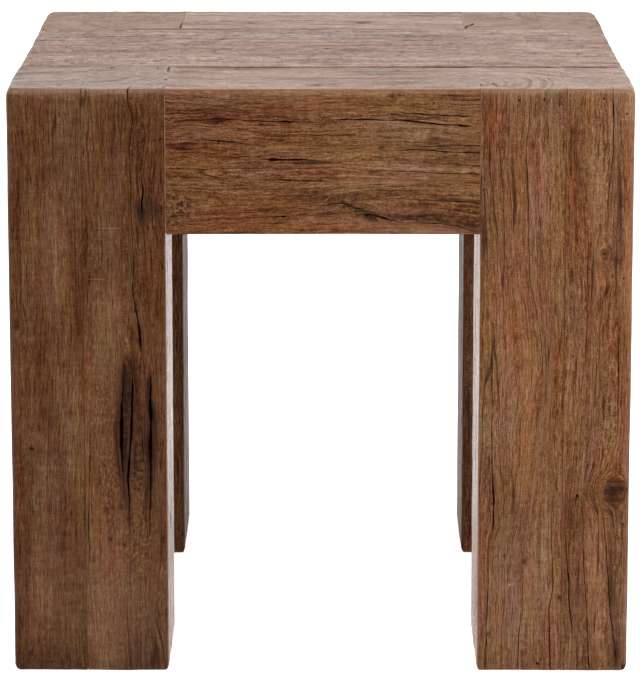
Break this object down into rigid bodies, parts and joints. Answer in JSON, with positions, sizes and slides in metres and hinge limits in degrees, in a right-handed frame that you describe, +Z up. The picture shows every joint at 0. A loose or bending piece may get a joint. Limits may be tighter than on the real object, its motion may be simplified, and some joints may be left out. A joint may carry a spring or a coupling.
{
  "type": "side table",
  "caption": "Chunky rustic timber side table: square glued-up legs running through to the top, deep apron beams and a planked top.",
  "frame": {"origin": "on the floor, at the centre of the table's footprint", "axes": "+Z up, the front face towards -Y, +X to the right as seen from the front"},
  "size_m": [0.6, 0.6, 0.575],
  "materials": {
    "leg_wood": "satin oiled old oak",
    "apron_wood": "satin oiled old oak",
    "board_wood": "satin oiled old oak",
    "inner_wood": "bare planed hardwood",
    "screw_steel": "zinc plated"
  },
  "bodies": {
    "root": {"back_apron_inner_lamination": "apron_wood", "back_apron_outer_lamination": "apron_wood", "back_apron_tongue": "inner_wood", "back_board_tongue": "inner_wood", "back_cleat": "inner_wood", "back_cleat_screws": "screw_steel", "back_left_apron_tenons": "inner_wood", "back_left_leg_inner_back_stave": "leg_wood", "back_left_leg_inner_inside_stave": "leg_wood", "back_left_leg_outer_back_stave": "leg_wood", "back_left_leg_outer_inside_stave": "leg_wood", "back_left_rail_tenon": "inner_wood", "back_right_apron_tenons": "inner_wood", "back_right_leg_inner_back_stave": "leg_wood", "back_right_leg_inner_inside_stave": "leg_wood", "back_right_leg_outer_back_stave": "leg_wood", "back_right_leg_outer_inside_stave": "leg_wood", "back_right_rail_tenon": "inner_wood", "back_top_board": "board_wood", "batten_screws": "screw_steel", "board_batten": "inner_wood", "front_apron_inner_lamination": "apron_wood", "front_apron_outer_lamination": "apron_wood", "front_apron_tongue": "inner_wood", "front_board_tongue": "inner_wood", "front_cleat": "inner_wood", "front_cleat_screws": "screw_steel", "front_left_apron_tenons": "inner_wood", "front_left_leg_inner_front_stave": "leg_wood", "front_left_leg_inner_inside_stave": "leg_wood", "front_left_leg_outer_front_stave": "leg_wood", "front_left_leg_outer_inside_stave": "leg_wood", "front_left_rail_tenon": "inner_wood", "front_right_apron_tenons": "inner_wood", "front_right_leg_inner_front_stave": "leg_wood", "front_right_leg_inner_inside_stave": "leg_wood", "front_right_leg_outer_front_stave": "leg_wood", "front_right_leg_outer_inside_stave": "leg_wood", "front_right_rail_tenon": "inner_wood", "front_top_board": "board_wood", "left_rail_screws": "screw_steel", "left_side_rail": "apron_wood", "middle_top_board": "board_wood", "right_rail_screws": "screw_steel", "right_side_rail": "apron_wood"}
  },
  "joints": []
}
